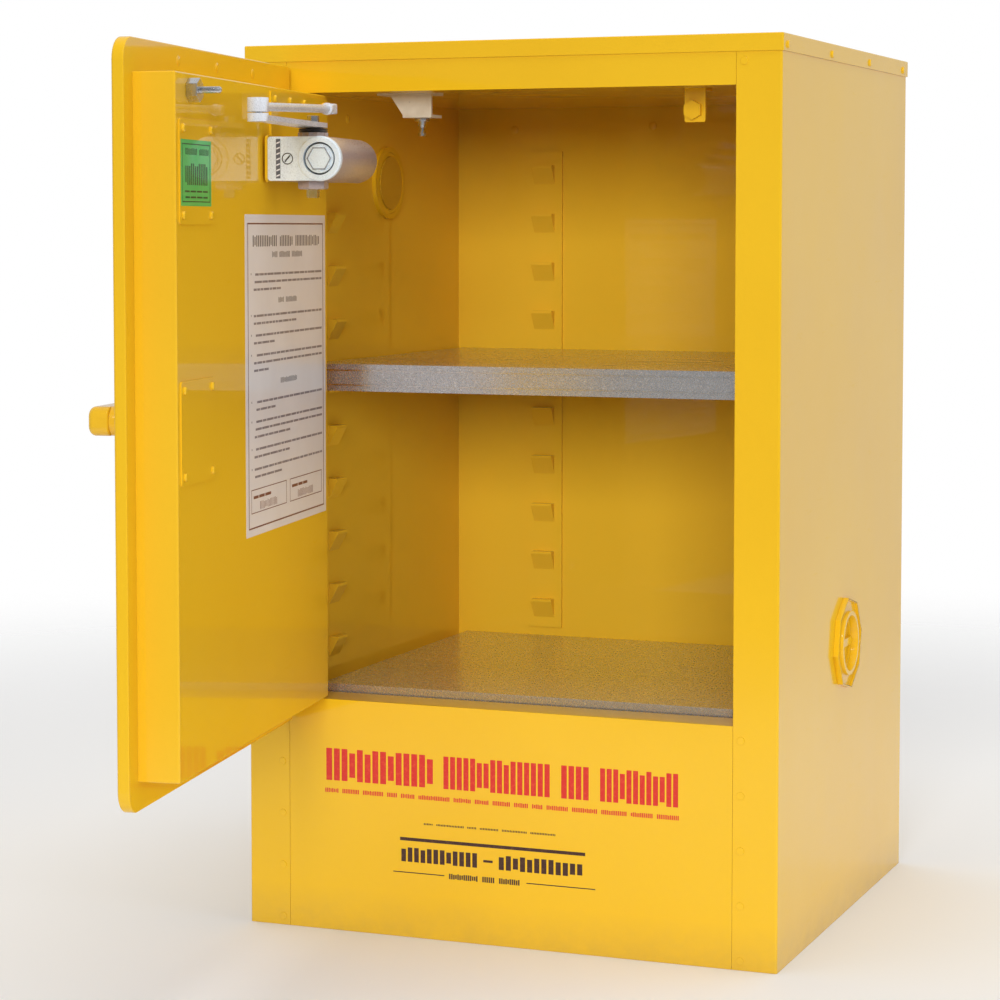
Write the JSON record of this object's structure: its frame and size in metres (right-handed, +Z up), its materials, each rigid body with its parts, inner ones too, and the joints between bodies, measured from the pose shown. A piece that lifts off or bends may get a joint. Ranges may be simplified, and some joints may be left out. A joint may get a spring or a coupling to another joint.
{
  "type": "flammable storage cabinet",
  "caption": "Double-walled steel cabinet for flammable liquids: hinged door with quarter-turn latch and closer, lift-off shelf, spill sump and plugged wall vents.",
  "frame": {"origin": "centre of the cabinet's base, on the floor", "axes": "+Z up, -Y out of the door opening, +X to the right seen from the front"},
  "size_m": [0.512, 0.8845, 0.8],
  "materials": {
    "yellow_paint": "gloss powder coat, bright yellow",
    "inner_yellow_paint": "gloss powder coat, bright yellow, inside faces",
    "galvanised_steel": "galvanised sheet with a visible spangle",
    "silver_enamel": "silver enamel on a casting",
    "zinc_plated_steel": "bright zinc plate",
    "cream_enamel": "cream enamel",
    "handle_enamel": "gloss yellow enamel on a die casting",
    "steel_gauze": "fine woven wire"
  },
  "bodies": {
    "cabinet": {"left_side_panel": "yellow_paint", "right_side_panel": "yellow_paint", "outer_back_panel": "yellow_paint", "outer_base_panel": "yellow_paint", "top_cap": "yellow_paint", "upper_front_rail": "yellow_paint", "lower_front_panel": "yellow_paint", "inner_left_wall": "inner_yellow_paint", "inner_right_wall": "inner_yellow_paint", "inner_back_wall": "inner_yellow_paint", "inner_ceiling": "inner_yellow_paint", "spill_sump": "inner_yellow_paint", "shell_rivets": "yellow_paint", "closer_bracket": "cream_enamel", "soffit_stud": "zinc_plated_steel", "strike_bracket": "inner_yellow_paint", "strike_bolt": "inner_yellow_paint", "left_shelf_strip": "inner_yellow_paint", "right_shelf_strip": "inner_yellow_paint", "back_left_shelf_strip": "inner_yellow_paint", "back_right_shelf_strip": "inner_yellow_paint", "left_vent_socket": "yellow_paint", "right_vent_socket": "yellow_paint", "left_vent_gauze": "steel_gauze", "right_vent_gauze": "steel_gauze", "left_vent_ring": "inner_yellow_paint", "right_vent_ring": "inner_yellow_paint", "hinge_frame_leaf": "inner_yellow_paint", "hinge_pin": "zinc_plated_steel", "hinge_frame_rivets": "inner_yellow_paint"},
    "door": {"door_outer_pan": "yellow_paint", "door_inner_box": "inner_yellow_paint", "hinge_door_leaf": "inner_yellow_paint", "hinge_door_rivets": "inner_yellow_paint", "upper_cover_plate": "inner_yellow_paint", "lower_cover_plate": "inner_yellow_paint", "door_screws": "inner_yellow_paint", "closer_base_plate": "inner_yellow_paint", "closer_mount_block": "inner_yellow_paint", "closer_body": "silver_enamel", "closer_end_plug": "silver_enamel", "closer_speed_screw": "zinc_plated_steel", "catch_pin": "zinc_plated_steel", "catch_nut": "zinc_plated_steel", "handle_rose": "handle_enamel", "spindle_bush": "zinc_plated_steel"},
    "handle": {"handle_grip": "handle_enamel", "latch_spindle": "zinc_plated_steel", "latch_crank": "zinc_plated_steel"},
    "latch_rod": {"latch_rod": "zinc_plated_steel"},
    "closer_arm": {"closer_pinion": "zinc_plated_steel", "main_arm": "silver_enamel", "arm_screw": "zinc_plated_steel", "elbow_pin": "zinc_plated_steel"},
    "closer_forearm": {"forearm": "silver_enamel", "forearm_socket": "silver_enamel"},
    "shelf": {"shelf": "galvanised_steel"},
    "base_tray": {"base_tray": "galvanised_steel"},
    "left_vent_plug": {"left_vent_plug": "yellow_paint"},
    "right_vent_plug": {"right_vent_plug": "yellow_paint"}
  },
  "joints": [
    {"name": "door_hinge", "type": "hinge", "parent": "cabinet", "child": "door", "pos_m": [-0.2065, -0.2285, 0.485], "axis": [0, 0, -1], "range_deg": [-81, 29]},
    {"name": "handle_turn", "type": "hinge", "parent": "door", "child": "handle", "pos_m": [-0.1745, -0.62234, 0.489], "axis": [0.9877, 0.1564, 0], "range_deg": [0, 90]},
    {"name": "latch_rod_slide", "type": "slide", "parent": "door", "child": "latch_rod", "axis": [0, 0, 1], "range_m": [0, 0.0198]},
    {"name": "closer_arm_pivot", "type": "hinge", "parent": "door", "child": "closer_arm", "pos_m": [-0.1091, -0.38317, 0.7215], "axis": [0, 0, 1], "range_deg": [0, 90]},
    {"name": "forearm_elbow", "type": "hinge", "parent": "closer_arm", "child": "closer_forearm", "pos_m": [-0.07854, -0.54741, 0.731], "axis": [0, 0, -1], "range_deg": [0, 45]},
    {"name": "shelf_lift", "type": "slide", "parent": "cabinet", "child": "shelf", "axis": [0, 0, 1], "range_m": [0, 0.018]},
    {"name": "base_tray_lift", "type": "slide", "parent": "cabinet", "child": "base_tray", "axis": [0, 0, 1], "range_m": [0, 0.15]},
    {"name": "left_plug_pull", "type": "slide", "parent": "cabinet", "child": "left_vent_plug", "axis": [-1, 0, 0], "range_m": [0, 0.03]},
    {"name": "right_plug_pull", "type": "slide", "parent": "cabinet", "child": "right_vent_plug", "axis": [1, 0, 0], "range_m": [0, 0.03]}
  ],
  "couplings": [
    {"joint": "latch_rod_slide", "follows": "handle_turn", "m_per_rad": 0.012604}
  ]
}
